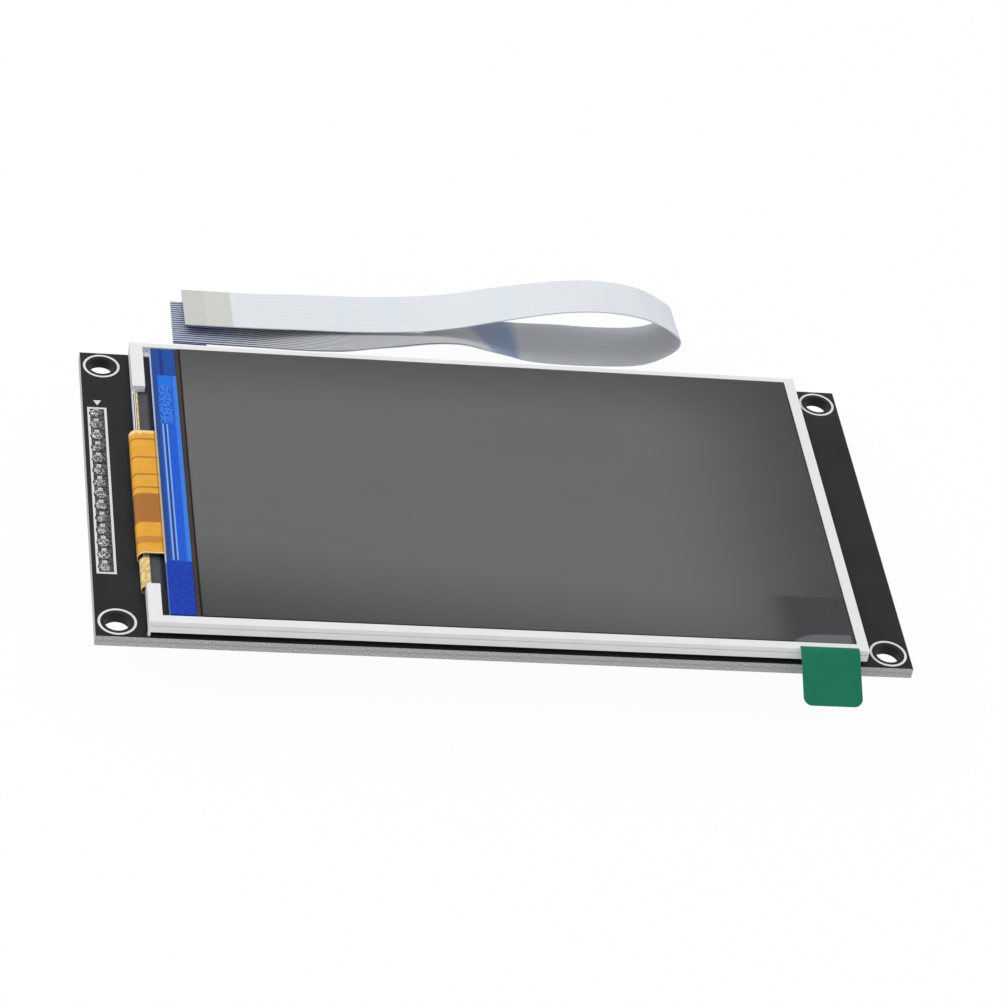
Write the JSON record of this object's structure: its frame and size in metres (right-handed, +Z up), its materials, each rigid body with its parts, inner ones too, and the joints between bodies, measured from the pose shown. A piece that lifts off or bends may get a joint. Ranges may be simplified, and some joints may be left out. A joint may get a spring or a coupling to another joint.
{
  "type": "tft display module",
  "caption": "Bare TFT display panel in a white backlight frame on a black circuit board, with a pin header, sockets underneath and a flat ribbon cable lying beside it.",
  "frame": {"origin": "middle of the four mounting holes, on the underside of the circuit board", "axes": "+X along the board's length away from the pin header, +Y across the board to the back edge, +Z up through the display"},
  "size_m": [0.1112, 0.0959, 0.0129],
  "materials": {
    "board": "satin black solder mask, pale grey board edge",
    "print": "matte white print",
    "header_plastic": "matte black moulding",
    "gold_metal": "bright plating",
    "solder": "bright tin",
    "foam": "matte black foam",
    "white_frame": "satin white moulding",
    "reflector": "satin white sheet",
    "lamp": "glossy",
    "lamp_strip": "satin dark coverlay",
    "clear_acrylic": "clear",
    "film": "satin translucent sheet",
    "black_tape": "matte",
    "polariser": "glossy dark grey",
    "rear_glass": "clear",
    "front_glass": "glass over a dark border",
    "clear_film": "clear glossy film",
    "green_tab": "satin green film",
    "chip": "satin black",
    "blue_tape": "glossy blue tape",
    "amber_flex": "glossy amber film",
    "socket_plastic": "matte ivory moulding",
    "steel_shell": "bright stamped sheet",
    "capacitor": "matte tan ceramic",
    "ribbon": "satin white film over flat wires",
    "stiffener": "satin blue film"
  },
  "bodies": {
    "root": {"circuit_board": "board", "board_print": "print", "header_strip": "header_plastic", "header_pins": "gold_metal", "solder_joints": "solder", "foam_tape": "foam", "backlight_frame": "white_frame", "reflector": "reflector", "backlight_lamps": "lamp", "lamp_strip": "lamp_strip", "light_guide": "clear_acrylic", "diffuser": "film", "lower_prism_film": "film", "upper_prism_film": "film", "black_ring_tape": "black_tape", "rear_polariser": "polariser", "rear_glass": "rear_glass", "front_glass": "front_glass", "front_polariser": "polariser", "protective_film": "clear_film", "pull_tab": "green_tab", "driver_chip": "chip", "driver_tape": "blue_tape", "display_flex": "amber_flex", "flex_pads": "solder", "ribbon_socket": "socket_plastic", "ribbon_contacts": "gold_metal", "card_socket_base": "header_plastic", "card_socket_shell": "steel_shell", "card_contacts": "gold_metal", "voltage_regulator": "chip", "backlight_transistor": "chip", "chip_resistors": "chip", "chip_capacitors": "capacitor", "ribbon_cable": "ribbon", "ribbon_end_upper": "stiffener", "ribbon_end_lower": "stiffener"}
  },
  "joints": []
}
